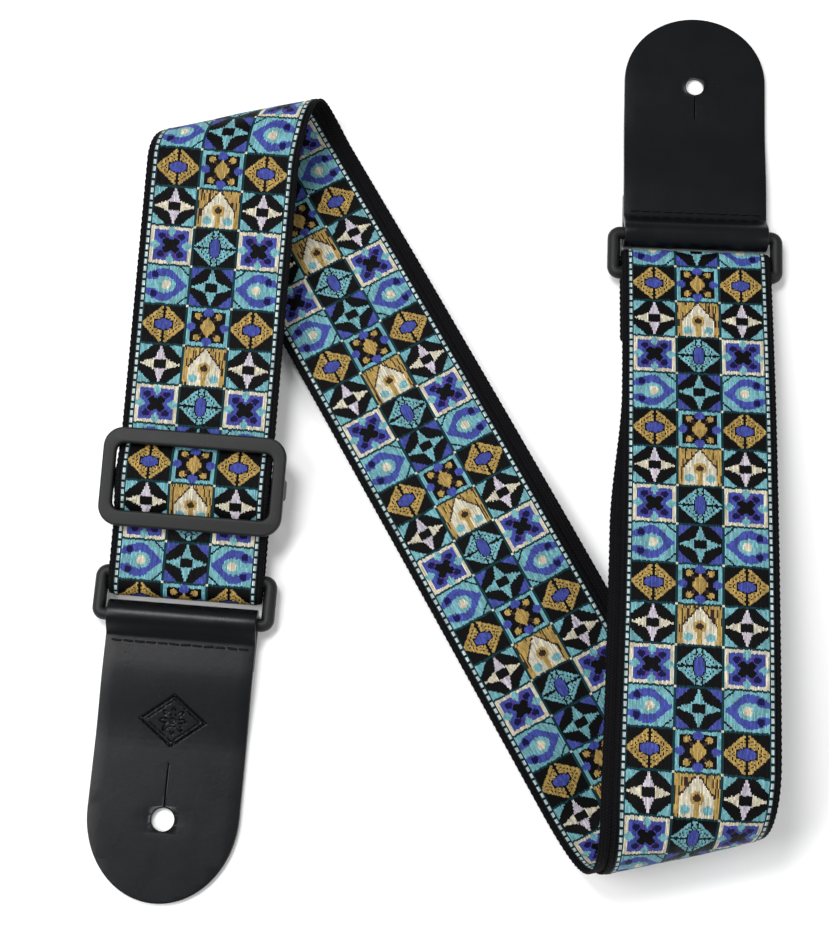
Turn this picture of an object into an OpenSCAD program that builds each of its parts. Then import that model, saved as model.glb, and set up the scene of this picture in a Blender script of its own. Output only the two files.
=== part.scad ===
// Adjustable guitar strap, laid out flat in a three-run zigzag on a table.
// Units are millimetres. +Z is up and the table is Z = 0. The origin is the axis of the
// strap-button hole in the lower leather tab, at the table. The lower tab points to -Y.
//
// The strap is a straight band. Its sheet is bent along one profile curve, whose rulings all
// run parallel to one fold axis: left run up, first roll, cross run back down, second roll,
// right run up. Place t is the distance along the strap from the lower ring's bar, s is the
// distance across it to the right, and n is the height above its middle surface.

/* [Strap] */
// Width of each webbing layer
webbing_w = 50.8; // [50:0.1:51]
// Thickness of one webbing layer
webbing_t = 0.95; // [0.8:0.05:1]
// Width of the woven ribbon on each face
ribbon_w = 47.6; // [44:0.2:48]
// Thickness of one ribbon
ribbon_t = 0.3; // [0.2:0.05:0.35]

/* [Lay-out] */
// Plan angle of both fold axes from +X
fold_axis = 12.2; // [11:0.1:13]
// Angle between the strap and the fold axes
strap_angle = 73.4; // [72.5:0.1:74.5]
// Length of the left run, square to the fold axis
left_run = 139; // [130:1:145]
// Length of the cross run, square to the fold axis
cross_run = 239; // [230:1:245]
// Mid-surface radius of the first roll, at the top
roll1_r = 12; // [12:0.1:12.2]
// Mid-surface radius of the second roll, at the bottom
roll2_r = 19; // [18.8:0.1:19.2]
// Slope of the left run, square to the fold axis
left_rise = 6.9; // [6.9:0.1:7.1]
// Slope of the right run, square to the fold axis
right_fall = 10.545; // [10:0.005:10.6]
// Slope at both ends of the bowed cross run
cross_bow = 4; // [3.9:0.1:4.1]
// Distance along the strap between the two ring bars
strap_len = 677.3; // [670:0.1:690]
// Sideways turn of the right run over its length
right_turn = 2.4; // [0:0.1:3]
// Sideways slip of the front layer on the cross run
front_slip = 4.2; // [0:0.1:5]
// Sideways slip of the back layer on the right run
back_slip = -3.5; // [-4:0.1:0]

/* [Rings] */
// Outer width of a ring
ring_w = 60.2; // [60:0.1:61]
// Outer length of a ring
ring_l = 18.6; // [18:0.1:20]
// Diameter of a ring's bars
bar_d = 4.4; // [4.2:0.1:4.4]
// Clearance of a webbing or leather loop round a bar
loop_gap = 0.2; // [0.2:0.05:0.3]
// Slack of the strap's loop past the lower ring's bar
lower_slack = 2.2; // [0:0.1:3]
// Slack of the strap's loop past the upper ring's bar
upper_slack = 3.7; // [0:0.1:4]

/* [Slider] */
// Outer width of the slider
slider_w = 60.3; // [60:0.1:62]
// Outer length of the slider
slider_l = 32.6; // [32:0.1:34]
// Width of the slider's cross bars
slider_bar = 4.8; // [4:0.1:5.2]
// Thickness of the slider's frame
slider_t = 3.8; // [3:0.1:4.2]
// Corner radius of the slider
slider_r = 6.6; // [5:0.1:7]
// Place of the slider along the strap
slider_at = 31; // [29:0.5:33]

/* [Leather tabs] */
// Leather thickness
leather_t = 2.4; // [2.2:0.1:2.4]
// Width of a leather tab
tab_w = 49.4; // [48:0.1:50]
// Visible length of the lower tab, from its ring bar to the tip
lower_tab_l = 91.4; // [88:0.1:95]
// Length of the lower tab's pointed end
lower_end_l = 28.5; // [25:0.5:32]
// Distance from the lower tab's ring bar to its strap-button hole
lower_hole_l = 64.9; // [60:0.1:66]
// Radius of the strap-button hole in the lower tab
lower_hole_r = 3.75; // [3.5:0.05:4]
// Length of the lower tab's button slit
lower_slit_l = 14; // [10:0.5:16]
// Visible length of the upper tab, from its ring bar to the tip
upper_tab_l = 82; // [80:0.1:88]
// Length of the upper tab's rounded end
upper_end_l = 23.5; // [20:0.5:25]
// Distance from the upper tab's ring bar to its strap-button hole
upper_hole_l = 56.5; // [55:0.1:60]
// Radius of the strap-button hole in the upper tab
upper_hole_r = 3.2; // [3:0.05:3.5]
// Length of the upper tab's button slit
upper_slit_l = 9; // [7:0.5:12]

/* [Hidden] */
$fn = 48;

webbing_col = "#141416";
ribbon_col = "#3f7fb8";
plastic_col = "#35373a";
leather_col = "#1c1d20";
thread_col = "#0e0e10";

strap_t = 2 * (webbing_t + ribbon_t);
// Air between two layers of a sheet or a tab, so that their solids stay apart
layer_gap = 0.05;
// Height of both ring bars, so that a leather loop round one touches the table
bar_z = bar_d / 2 + loop_gap + leather_t + 0.1;
webbing_loop_r = bar_d / 2 + loop_gap;
leather_loop_r = bar_d / 2 + loop_gap + 0.1;
bar_gap = ring_l - bar_d;
// A ring bar's middle, below the strap's middle surface
bar_n = -(strap_t / 2 + webbing_loop_r);
// Height of the strap's middle at the lower ring's bar
start_z = 8.53;
step_t = 5;
step_roll = 2.4;
cells_across = 4;
slider_clear = 0.3;
slider_plane = strap_t / 2 + slider_clear;
end_t = 1.6;
centre_bar_r = 1.6;
centre_bar_n = -(strap_t / 2 + slider_clear + end_t + 0.1 + centre_bar_r);
stitch_d = 0.7;
stitch_l = 2.9;
stitch_pitch = 3.8;

// ---- The profile curve, square to the fold axis: [length, turn] of each piece ----
roll1_turn = -(180 + left_rise + cross_bow);
roll2_turn = -(180 + cross_bow + right_fall);
pieces = [[left_run, 0], [roll1_r * -roll1_turn * PI / 180, roll1_turn],
    [cross_run, 2 * cross_bow], [roll2_r * -roll2_turn * PI / 180, roll2_turn], [1000, 0]];

// [along, height, heading] after distance d on the profile
function profile(d, i = 0, q = 0, z = start_z, h = left_rise) =
    let (len = pieces[i][0], turn = pieces[i][1], u = i == 4 ? d : min(d, len),
        k = turn / len, h2 = h + k * u, r = turn == 0 ? 0 : 180 / PI / k,
        q2 = turn == 0 ? q + u * cos(h) : q + r * (sin(h2) - sin(h)),
        z2 = turn == 0 ? z + u * sin(h) : z - r * (cos(h2) - cos(h)))
    (i == 4 || d <= len) ? [q2, z2, h2] : profile(d - len, i + 1, q2, z2, h2);

// Places t at which the strap's middle enters and leaves the two rolls
function mark(i) = i < 0 ? 0 : mark(i - 1) + pieces[i][0] / sin(strap_angle);
roll1_in = mark(0);
roll1_out = mark(1);
roll2_in = mark(2);
roll2_out = mark(3);

// Slope and plan heading of a straight run, from its slope square to the fold axis
function run_slope(rise) = asin(sin(strap_angle) * sin(rise));
function run_heading(rise) =
    fold_axis + atan2(sin(strap_angle) * cos(rise), cos(strap_angle));
left_heading = run_heading(left_rise);
right_heading = run_heading(right_fall);
left_slope = run_slope(left_rise);
right_slope = run_slope(-right_fall);

// Middle of the strap at the lower ring's bar, in line with the lower tab's hole
start = (lower_hole_l + bar_gap + bar_n * sin(left_slope)) * [cos(left_heading), sin(left_heading)];
axis_dir = [cos(fold_axis), sin(fold_axis)];
square_dir = [-sin(fold_axis), cos(fold_axis)];

// The sheet bent over both rolls
function rolled(t, s) =
    let (p = profile(t * sin(strap_angle) - s * cos(strap_angle)),
        a = t * cos(strap_angle) + s * sin(strap_angle),
        xy = start + a * axis_dir + p[0] * square_dir)
    [xy[0], xy[1], p[1]];

// Share from 0 to 1, smooth at both ends
function smooth(x) = let (c = max(0, min(1, x))) c * c * (3 - 2 * c);

// Sideways turn of the right run at t, and the middle line with that turn in it
turn_len = strap_len - roll2_out;
function turned(t) = right_turn * max(0, t - roll2_out) / turn_len;
function middle(t) =
    t <= roll2_out ? rolled(t, 0) :
    let (u = t - roll2_out, side = u * turned(t) / 2 * PI / 180,
        h = right_heading + 90, p = rolled(t, 0))
    [p[0] + side * cos(h), p[1] + side * sin(h), p[2]];

// The two straight runs lie level across. They take up the rolls' rulings near each roll.
function level_share(t) =
    t < roll2_in ? 1 - smooth((t - roll1_in + 40) / 32)
        : smooth((t - roll2_out - 10) / 60);
function across_dir(t) =
    let (h = (t < roll2_in ? left_heading : right_heading + turned(t)) - 90)
    [cos(h), sin(h), 0];
function sheet(t, s) =
    let (m = middle(t), w = level_share(t), r = rolled(t, s) - rolled(t, 0))
    m + w * s * across_dir(t) + (1 - w) * r;
function unit(v) = v / norm(v);
function sheet_normal(t, s) =
    unit(cross(sheet(t, s + 0.1) - sheet(t, s - 0.1), sheet(t + 0.1, s) - sheet(t - 0.1, s)));
function on_strap(t, s, n) = sheet(t, s) + n * sheet_normal(t, s);

// Sideways slip of the front and back layers, which shift on each other at the rolls
function front_shift(t) =
    front_slip * (smooth((t - roll1_in + 6) / 34) - smooth((t - roll2_in) / 60));
function back_shift(t) =
    back_slip * (smooth((t - roll2_in) / 60) - smooth((t - strap_len + 95) / 50));

// Rows of the sheet's mesh, closer together in the rolls
function rows(a, b, step) = let (k = max(1, ceil((b - a) / step)))
    [for (i = [0 : k - 1]) a + (b - a) * i / k];
strap_rows = concat(rows(slider_at, roll1_in - 44, 20), rows(roll1_in - 44, roll1_in - 6, step_t),
    rows(roll1_in - 6, roll1_out + 6, step_roll), rows(roll1_out + 6, roll2_in - 6, 2 * step_t),
    rows(roll2_in - 6, roll2_out + 6, step_roll * 1.4), rows(roll2_out + 6, strap_len, step_t),
    [strap_len]);

// A closed band of width w from n0 to n1 along the strap. Its edges are shifted sideways, and
// its inner lines aren't, so that all layers share them.
module band(w, n0, n1, front) {
    cols = cells_across + 1;
    n_rows = len(strap_rows);
    function shift(t) = front ? front_shift(t) : back_shift(t);
    function s_at(t, j) = j == 0 ? shift(t) - w / 2 : j == cells_across ? shift(t) + w / 2
        : webbing_w * (j / cells_across - 0.5);
    function idx(layer, i, j) = (layer * n_rows + i) * cols + j;
    function face(a, b, c, d) = [[a, b, c], [a, c, d]];
    pts = [for (n = [n0, n1]) for (t = strap_rows) for (j = [0 : cells_across])
        on_strap(t, s_at(t, j), n)];
    skin = [for (i = [0 : n_rows - 2]) for (j = [0 : cells_across - 1]) each concat(
        face(idx(1, i, j), idx(1, i + 1, j), idx(1, i + 1, j + 1), idx(1, i, j + 1)),
        face(idx(0, i, j), idx(0, i, j + 1), idx(0, i + 1, j + 1), idx(0, i + 1, j)))];
    edges = [for (i = [0 : n_rows - 2]) each concat(
        face(idx(0, i, 0), idx(0, i + 1, 0), idx(1, i + 1, 0), idx(1, i, 0)),
        face(idx(0, i + 1, cols - 1), idx(0, i, cols - 1), idx(1, i, cols - 1),
            idx(1, i + 1, cols - 1)))];
    ends = [for (j = [0 : cells_across - 1]) each concat(
        face(idx(0, 0, j), idx(1, 0, j), idx(1, 0, j + 1), idx(0, 0, j + 1)),
        face(idx(1, n_rows - 1, j), idx(0, n_rows - 1, j), idx(0, n_rows - 1, j + 1),
            idx(1, n_rows - 1, j + 1)))];
    polyhedron(pts, concat(skin, edges, ends), convexity = 10);
}

// ---- Places on the straight runs. X is across, Y up the strap, Z square to it. ----
module on_left_run(t) {
    translate(middle(t)) rotate([0, 0, left_heading - 90]) rotate([left_slope, 0, 0]) children();
}
module on_right_run(t) {
    translate(middle(t)) rotate([0, 0, right_heading + turned(t) - 90])
        rotate([right_slope, 0, 0]) children();
}

// Profile in [Y, Z], extruded to width w about X = 0
module across(w) {
    rotate([90, 0, 90]) linear_extrude(w, center = true) children();
}

// Half a ring of wall from r0 to r1 about the origin, on the -Y side
module half_loop(r0, r1) {
    difference() {
        circle(r1);
        circle(r0);
        translate([0, -2 * r1]) square(4 * r1);
    }
}

// A strap loop round a bar at the origin, on the -Y side, that hangs slack past the bar
module strap_loop(slack) {
    translate([-slack, 0]) half_loop(webbing_loop_r, webbing_loop_r + strap_t);
    for (z = [webbing_loop_r, -webbing_loop_r - strap_t])
        translate([-slack, z]) square([slack, strap_t]);
}

// A rounded rectangle made of squares and circles
module round_rect(w, l, r) {
    square([w - 2 * r, l], center = true);
    square([w, l - 2 * r], center = true);
    for (x = [-1, 1], y = [-1, 1])
        translate([x * (w / 2 - r), y * (l / 2 - r)]) circle(r);
}

// ---- Rings: flat plastic loops with two round bars. The origin is the webbing's bar, and the
// leather's bar is at Y = -bar_gap. ----
ring_arm = (ring_w - webbing_w) / 2 - 0.5;
module ring() {
    for (y = [0, -bar_gap])
        translate([0, y, 0]) rotate([0, 90, 0])
            cylinder(h = ring_w - ring_arm, d = bar_d, center = true);
    difference() {
        translate([0, -bar_gap / 2, -bar_d / 2]) linear_extrude(bar_d)
            round_rect(ring_w, ring_l, 3);
        translate([0, -bar_gap / 2, 0])
            cube([ring_w - 2 * ring_arm, ring_l + 2, bar_d + 2], center = true);
    }
}

// ---- Leather tabs: one strip folded round the ring's bar and sewn to itself ----
// Heights are measured from the middle of the ring's bar. The free end points to -Y.
fold_back_l = 15;
sewn_at = 8.4;
low_z = -leather_loop_r - leather_t;

// A strip of thickness t along a line of [Y, Z] points
function strip_side(line, off) = let (last = len(line) - 1)
    [for (i = [0 : last]) let (d = unit(line[min(i + 1, last)] - line[max(i - 1, 0)]))
        line[i] + off * [-d[1], d[0]]];
module strip(line, t) {
    far = strip_side(line, -t / 2);
    polygon(concat(strip_side(line, t / 2), [for (i = [len(far) - 1 : -1 : 0]) far[i]]));
}
function s_curve(y0, z0, y1, z1) =
    [for (i = [0 : 10]) [y0 + (y1 - y0) * i / 10, z0 + (z1 - z0) * smooth(i / 10)]];

// Middle line: the fold-back's end, round the bar, down onto it, over its end, to the tip
module tab_profile(len) {
    low_mid = low_z + leather_t / 2;
    top_mid = low_mid + leather_t + layer_gap;
    mid_r = leather_loop_r + leather_t / 2;
    strip(concat([[-fold_back_l, low_mid]],
        [for (a = [-90 : 7.5 : 90]) mid_r * [cos(a), sin(a)]],
        s_curve(-0.5, mid_r, -sewn_at + 1.6, top_mid),
        s_curve(-fold_back_l - 0.2, top_mid, -fold_back_l - 12, low_mid),
        [[-len, low_mid]]), leather_t);
}

// Plan outline with a straight part and an elliptical end
module tab_outline(len, end_l) {
    translate([-tab_w / 2, -(len - end_l)]) square([tab_w, len - end_l + 10]);
    intersection() {
        translate([0, -(len - end_l)]) scale([1, 2 * end_l / tab_w]) circle(tab_w / 2, $fn = 96);
        translate([-tab_w, -len - 1]) square([2 * tab_w, len]);
    }
}

// Button hole hole_l from the bar, with a slit of length slit_l towards the ring
slit_w = 1.1;
module button_cut(hole_l, hole_r, slit_l) {
    translate([0, -hole_l, low_z - 1]) cylinder(h = leather_t + 2, r = hole_r);
    translate([-slit_w / 2, -hole_l, low_z - 1]) cube([slit_w, hole_r + slit_l, leather_t + 2]);
}

module leather_tab(len, end_l, hole_l, hole_r, slit_l) {
    difference() {
        intersection() {
            across(tab_w) tab_profile(len);
            translate([0, 0, low_z - 1]) linear_extrude(20) tab_outline(len, end_l);
        }
        button_cut(hole_l, hole_r, slit_l);
    }
}

// A row of thread stitches across the strap, count pieces at stitch_pitch
module stitch_row(count) {
    for (i = [0 : count - 1])
        translate([(i - (count - 1) / 2) * stitch_pitch, 0, 0]) rotate([0, 90, 0])
            cylinder(h = stitch_l, d = stitch_d, center = true, $fn = 16);
}
tab_stitch_z = low_z + 2 * leather_t + layer_gap + stitch_d / 2;

// ---- Frames of the two ends ----
module at_lower_bar() {
    rotate([0, 0, left_heading - 90]) translate([0, lower_hole_l + bar_gap, bar_z]) children();
}
module at_upper_bar() {
    m = middle(strap_len);
    h = right_heading + turned(strap_len);
    back = bar_n * sin(right_slope);
    translate([m[0] - back * cos(h), m[1] - back * sin(h), bar_z])
        rotate([0, 0, h + 90]) children();
}

// ---- Pieces ----
module front_webbing() {
    color(webbing_col) band(webbing_w, layer_gap, webbing_t, true);
}
module front_ribbon() {
    color(ribbon_col) band(ribbon_w, webbing_t + layer_gap, webbing_t + ribbon_t, true);
}
module back_webbing() {
    color(webbing_col) band(webbing_w, -webbing_t, -layer_gap, false);
}
module back_ribbon() {
    color(ribbon_col) band(ribbon_w, -webbing_t - ribbon_t, -webbing_t - layer_gap, false);
}

// The strap's end, folded round the upper ring's bar and laid back under the strap
hem_l = 24;
module upper_strap_loop() {
    color(webbing_col) on_right_run(strap_len) across(webbing_w) {
        translate([0, bar_n]) rotate(180) strap_loop(upper_slack);
        translate([-hem_l, bar_n - webbing_loop_r - strap_t]) square([hem_l, strap_t]);
    }
}
module upper_loop_stitching() {
    color(thread_col) on_right_run(strap_len)
        for (y = [-hem_l + 3, -hem_l + 7])
            translate([0, y, bar_n - webbing_loop_r - strap_t - stitch_d / 2]) stitch_row(12);
}

// Frame with two cross bars above the strap and a centre bar below it
module slider() {
    color(plastic_col) on_left_run(slider_at) {
        inner_w = webbing_w + 1.2;
        translate([0, 0, slider_plane]) linear_extrude(slider_t) difference() {
            round_rect(slider_w, slider_l, slider_r);
            round_rect(inner_w, slider_l - 2 * slider_bar, 1.5);
        }
        cheek_w = (slider_w - inner_w) / 2;
        low = centre_bar_n - centre_bar_r;
        for (x = [-1, 1])
            translate([x * (slider_w - cheek_w) / 2, 0, (low + slider_plane) / 2])
                cube([cheek_w, 2 * centre_bar_r + 4, slider_plane - low], center = true);
        translate([0, 0, centre_bar_n]) rotate([0, 90, 0])
            cylinder(h = slider_w - cheek_w, r = centre_bar_r, center = true);
    }
}

// The raised part of the strap over the slider's centre bar, seen in the slider's window
hump_h = 3.2;
module strap_over_slider_bar() {
    base = strap_t / 2 + 0.15;
    half = slider_l / 2 - slider_bar - 0.2;
    color(ribbon_col) on_left_run(slider_at) across(webbing_w)
        polygon([for (i = [-12 : 12]) [half * i / 12, base + (i * i == 144 ? 0
            : hump_h * cos(90 * i / 12) + 0.3)]]);
}

// The strap's bare end, wrapped round the centre bar and running back to the ring
return_from = 4.5;
module sewn_return_end() {
    r0 = centre_bar_r + 0.1;
    color(webbing_col) on_left_run(slider_at) across(webbing_w) {
        translate([0, centre_bar_n]) {
            rotate(180) half_loop(r0, r0 + end_t);
            translate([return_from - slider_at, -r0 - end_t])
                square([slider_at - return_from, end_t]);
            translate([-9, r0]) square([9, end_t]);
        }
    }
}
module return_end_stitching() {
    r0 = centre_bar_r + 0.1;
    color(thread_col) on_left_run(slider_at)
        for (y = [-8, -5])
            translate([0, y, centre_bar_n - r0 - end_t - stitch_d / 2]) stitch_row(12);
}

// The strap from the slider down to the lower ring, and round the ring's bar
module adjuster_front_run() {
    color(ribbon_col) on_left_run(0) across(webbing_w)
        translate([0, -strap_t / 2]) square([slider_at, strap_t]);
}
module adjuster_ring_loop() {
    color(webbing_col) on_left_run(0) across(webbing_w)
        translate([0, bar_n]) strap_loop(lower_slack);
}

module lower_ring() {
    color(plastic_col) at_lower_bar() ring();
}
module upper_ring() {
    color(plastic_col) at_upper_bar() ring();
}

module lower_leather_tab() {
    color(leather_col) at_lower_bar() translate([0, -bar_gap, 0])
        leather_tab(lower_tab_l, lower_end_l, lower_hole_l, lower_hole_r, lower_slit_l);
}
module lower_tab_stitching() {
    color(thread_col) at_lower_bar() translate([0, -bar_gap - sewn_at, tab_stitch_z])
        stitch_row(12);
}
module upper_leather_tab() {
    color(leather_col) at_upper_bar() translate([0, -bar_gap, 0])
        leather_tab(upper_tab_l, upper_end_l, upper_hole_l, upper_hole_r, upper_slit_l);
}
module upper_tab_stitching() {
    color(thread_col) at_upper_bar() translate([0, -bar_gap - sewn_at, tab_stitch_z])
        stitch_row(12);
}

front_webbing();
front_ribbon();
back_webbing();
back_ribbon();
upper_strap_loop();
upper_loop_stitching();
slider();
strap_over_slider_bar();
sewn_return_end();
return_end_stitching();
adjuster_front_run();
adjuster_ring_loop();
lower_ring();
lower_leather_tab();
lower_tab_stitching();
upper_ring();
upper_leather_tab();
upper_tab_stitching();
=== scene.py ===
"""Adjustable woven guitar strap in a flat zigzag. Lengths are in millimetres until mesh time."""
import math
import random

import bmesh
import bpy
from mathutils import Matrix, Vector, noise


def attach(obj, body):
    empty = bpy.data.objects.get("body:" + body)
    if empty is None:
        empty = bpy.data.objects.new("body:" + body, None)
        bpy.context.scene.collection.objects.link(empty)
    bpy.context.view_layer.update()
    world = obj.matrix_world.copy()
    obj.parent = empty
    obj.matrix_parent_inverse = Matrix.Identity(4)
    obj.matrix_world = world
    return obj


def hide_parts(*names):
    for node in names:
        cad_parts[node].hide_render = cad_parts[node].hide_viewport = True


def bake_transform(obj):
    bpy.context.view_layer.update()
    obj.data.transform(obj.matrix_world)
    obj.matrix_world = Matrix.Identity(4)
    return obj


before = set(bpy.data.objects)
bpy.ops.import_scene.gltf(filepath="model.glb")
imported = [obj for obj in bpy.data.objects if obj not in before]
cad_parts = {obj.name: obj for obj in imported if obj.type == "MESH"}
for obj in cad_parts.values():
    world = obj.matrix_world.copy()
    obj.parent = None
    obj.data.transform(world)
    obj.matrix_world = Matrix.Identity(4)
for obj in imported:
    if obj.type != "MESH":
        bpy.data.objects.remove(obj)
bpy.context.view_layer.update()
MM = 0.001
random.seed(7)

# ---- The strap's sheet, as the CAD source bends it ----
FOLD_AXIS, STRAP_ANGLE = math.radians(12.2), math.radians(73.4)
ROLL1_R, ROLL2_R = 12.0, 19.0
LEFT_RISE, RIGHT_FALL, CROSS_BOW = 6.9, 10.545, 4.0
STRAP_LEN, RIGHT_TURN = 677.3, 2.4
FRONT_SLIP, BACK_SLIP = 4.2, -3.5
WEB_W, WEB_T, RIB_W, RIB_T = 50.8, 0.95, 47.6, 0.3
STRAP_T = 2 * (WEB_T + RIB_T)
BAR_D, LOOP_GAP, LEATHER_T, BAR_Z = 4.4, 0.2, 2.4, 4.9
BAR_GAP = 14.2
WEB_LOOP_R = BAR_D / 2 + LOOP_GAP
BAR_N = -(STRAP_T / 2 + WEB_LOOP_R)
SLIDER_AT = 31.0
START_Z = 8.53
# The weave: row and column pitch, dashes to a row, and where row C lies on each face
ROW, BACK_ROW, COL, DASHES = 13.37, 13.09, 14.75, 5.5
FRONT_PHASE, BACK_PHASE = 109.6, 185.9
LOWER_HOLE_L, UPPER_HOLE_L = 64.9, 56.5

# Length square to the fold axis and turn in degrees of each part: left run, first roll,
# cross run, second roll, and the right run, which has no end of its own
LEFT_RUN, CROSS_RUN, ENDLESS = 139.0, 239.0, 1000.0
TURN1, TURN2 = -(180 + LEFT_RISE + CROSS_BOW), -(180 + CROSS_BOW + RIGHT_FALL)
PIECES = [(LEFT_RUN, 0.0), (-ROLL1_R * math.radians(TURN1), TURN1), (CROSS_RUN, 2 * CROSS_BOW),
          (-ROLL2_R * math.radians(TURN2), TURN2), (ENDLESS, 0.0)]


def profile(d):
    """Along and up after distance d on the curve that is square to the fold axis."""
    q, z, h = 0.0, START_Z, math.radians(LEFT_RISE)
    for i, (length, turn) in enumerate(PIECES):
        last = i == len(PIECES) - 1
        u = d if last else min(d, length)
        if turn == 0:
            q += u * math.cos(h)
            z += u * math.sin(h)
        else:
            k = math.radians(turn) / length
            q += (math.sin(h + k * u) - math.sin(h)) / k
            z -= (math.cos(h + k * u) - math.cos(h)) / k
            h += k * u
        if last or d <= length:
            return q, z
        d -= length


MARKS = []
for length, _ in PIECES[:4]:
    MARKS.append((MARKS[-1] if MARKS else 0.0) + length / math.sin(STRAP_ANGLE))
ROLL1_IN, _, ROLL2_IN, ROLL2_OUT = MARKS


def run_slope(rise):
    return math.asin(math.sin(STRAP_ANGLE) * math.sin(math.radians(rise)))


def run_heading(rise):
    return FOLD_AXIS + math.atan2(math.sin(STRAP_ANGLE) * math.cos(math.radians(rise)),
                                  math.cos(STRAP_ANGLE))


LEFT_H, RIGHT_H = run_heading(LEFT_RISE), run_heading(RIGHT_FALL)
LEFT_SLOPE, RIGHT_SLOPE = run_slope(LEFT_RISE), run_slope(-RIGHT_FALL)
START_D = LOWER_HOLE_L + BAR_GAP + BAR_N * math.sin(LEFT_SLOPE)
START = (START_D * math.cos(LEFT_H), START_D * math.sin(LEFT_H))


def smooth(x):
    c = max(0.0, min(1.0, x))
    return c * c * (3 - 2 * c)


def rolled(t, s):
    q, z = profile(t * math.sin(STRAP_ANGLE) - s * math.cos(STRAP_ANGLE))
    a = t * math.cos(STRAP_ANGLE) + s * math.sin(STRAP_ANGLE)
    return Vector((START[0] + a * math.cos(FOLD_AXIS) - q * math.sin(FOLD_AXIS),
                   START[1] + a * math.sin(FOLD_AXIS) + q * math.cos(FOLD_AXIS), z))


def turned(t):
    return math.radians(RIGHT_TURN) * max(0.0, t - ROLL2_OUT) / (STRAP_LEN - ROLL2_OUT)


def middle(t):
    p = rolled(t, 0)
    if t > ROLL2_OUT:
        side, h = (t - ROLL2_OUT) * turned(t) / 2, RIGHT_H + math.pi / 2
        p += Vector((side * math.cos(h), side * math.sin(h), 0))
    return p


def sheet(t, s):
    """The strap's middle surface at t along it and s across it."""
    if t < ROLL2_IN:
        w, h = 1 - smooth((t - ROLL1_IN + 40) / 32), LEFT_H
    else:
        w, h = smooth((t - ROLL2_OUT - 10) / 60), RIGHT_H + turned(t)
    h -= math.pi / 2
    p = middle(t)
    if w > 0:
        p = p + Vector((math.cos(h), math.sin(h), 0)) * (w * s)
    if w < 1:
        p = p + (rolled(t, s) - rolled(t, 0)) * (1 - w)
    return p


def ripple(t, s):
    """Slight unevenness that all layers share, none at the ends and under the slider."""
    flat = smooth((t - 55) / 30) * smooth((STRAP_LEN - 20 - t) / 40)
    return flat * 0.55 * noise.noise(Vector((t * 0.021, s * 0.035, 3.7)))


def on_strap(t, s, n):
    along = sheet(t + 0.1, s) - sheet(t - 0.1, s)
    across = sheet(t, s + 0.1) - sheet(t, s - 0.1)
    return sheet(t, s) + across.cross(along).normalized() * (n + ripple(t, s))


def front_shift(t):
    return FRONT_SLIP * (smooth((t - ROLL1_IN + 6) / 34) - smooth((t - ROLL2_IN) / 60))


def back_shift(t):
    return BACK_SLIP * (smooth((t - ROLL2_IN) / 60) - smooth((t - STRAP_LEN + 95) / 50))


# ---- Local frames: X across, Y up the strap or towards it, Z square to it ----
def on_run(t, heading, slope):
    return (Matrix.Translation(middle(t)) @ Matrix.Rotation(heading - math.pi / 2, 4, "Z")
            @ Matrix.Rotation(slope, 4, "X"))


def left_run(t):
    return on_run(t, LEFT_H, LEFT_SLOPE)


UPPER_H = RIGHT_H + turned(STRAP_LEN)
UPPER_LOOP = on_run(STRAP_LEN, UPPER_H, RIGHT_SLOPE)
LOWER_BAR = Matrix.Rotation(LEFT_H - math.pi / 2, 4, "Z") @ Matrix.Translation(
    (0, LOWER_HOLE_L + BAR_GAP, BAR_Z))
STRAP_END, BAR_BACK = middle(STRAP_LEN), BAR_N * math.sin(RIGHT_SLOPE)
UPPER_BAR = (Matrix.Translation((STRAP_END.x - BAR_BACK * math.cos(UPPER_H),
                                 STRAP_END.y - BAR_BACK * math.sin(UPPER_H), BAR_Z))
             @ Matrix.Rotation(UPPER_H + math.pi / 2, 4, "Z"))


# ---- Meshes ----
def new_object(name, verts, faces, material, uvs=None, sharp=50):
    """A smooth-shaded mesh. uvs gives each vertex its place on the weave, in millimetres."""
    mesh = bpy.data.meshes.new(name)
    mesh.from_pydata([Vector(v) * MM for v in verts], [], faces)
    mesh.validate()
    if uvs is not None:
        layer = mesh.uv_layers.new(name="Weave")
        for loop in mesh.loops:
            layer.data[loop.index].uv = uvs[loop.vertex_index]
    mesh.polygons.foreach_set("use_smooth", [True] * len(mesh.polygons))
    mesh.set_sharp_from_angle(angle=math.radians(sharp))
    mesh.materials.append(material)
    obj = bpy.data.objects.new(name, mesh)
    bpy.context.collection.objects.link(obj)
    return obj


def linspace(a, b, step):
    k = max(1, math.ceil((b - a) / step))
    return [a + (b - a) * i / k for i in range(k + 1)]


def swept(name, place, ts, section, material, shift=lambda t: 0.0, uv_t=lambda t: t):
    """A closed band. place(t, s, n) gives points, and section is its outline in (s, n)."""
    k = len(section(ts[0]))
    verts, uvs, faces = [], [], []
    for t in ts:
        for s, n in section(t):
            verts.append(place(t, s + shift(t), n))
            uvs.append((s / COL, uv_t(t)))
    for i in range(len(ts) - 1):
        for j in range(k):
            a, b = i * k + j, i * k + (j + 1) % k
            faces.append((a, a + k, b + k, b))
    faces.append(tuple(range(k)))
    faces.append(tuple((len(ts) - 1) * k + j for j in reversed(range(k))))
    return new_object(name, verts, faces, material, uvs)


PICK, PICK_DEPTH = 2.1, 0.13  # the weft picks that rib the webbing's edges


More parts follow.
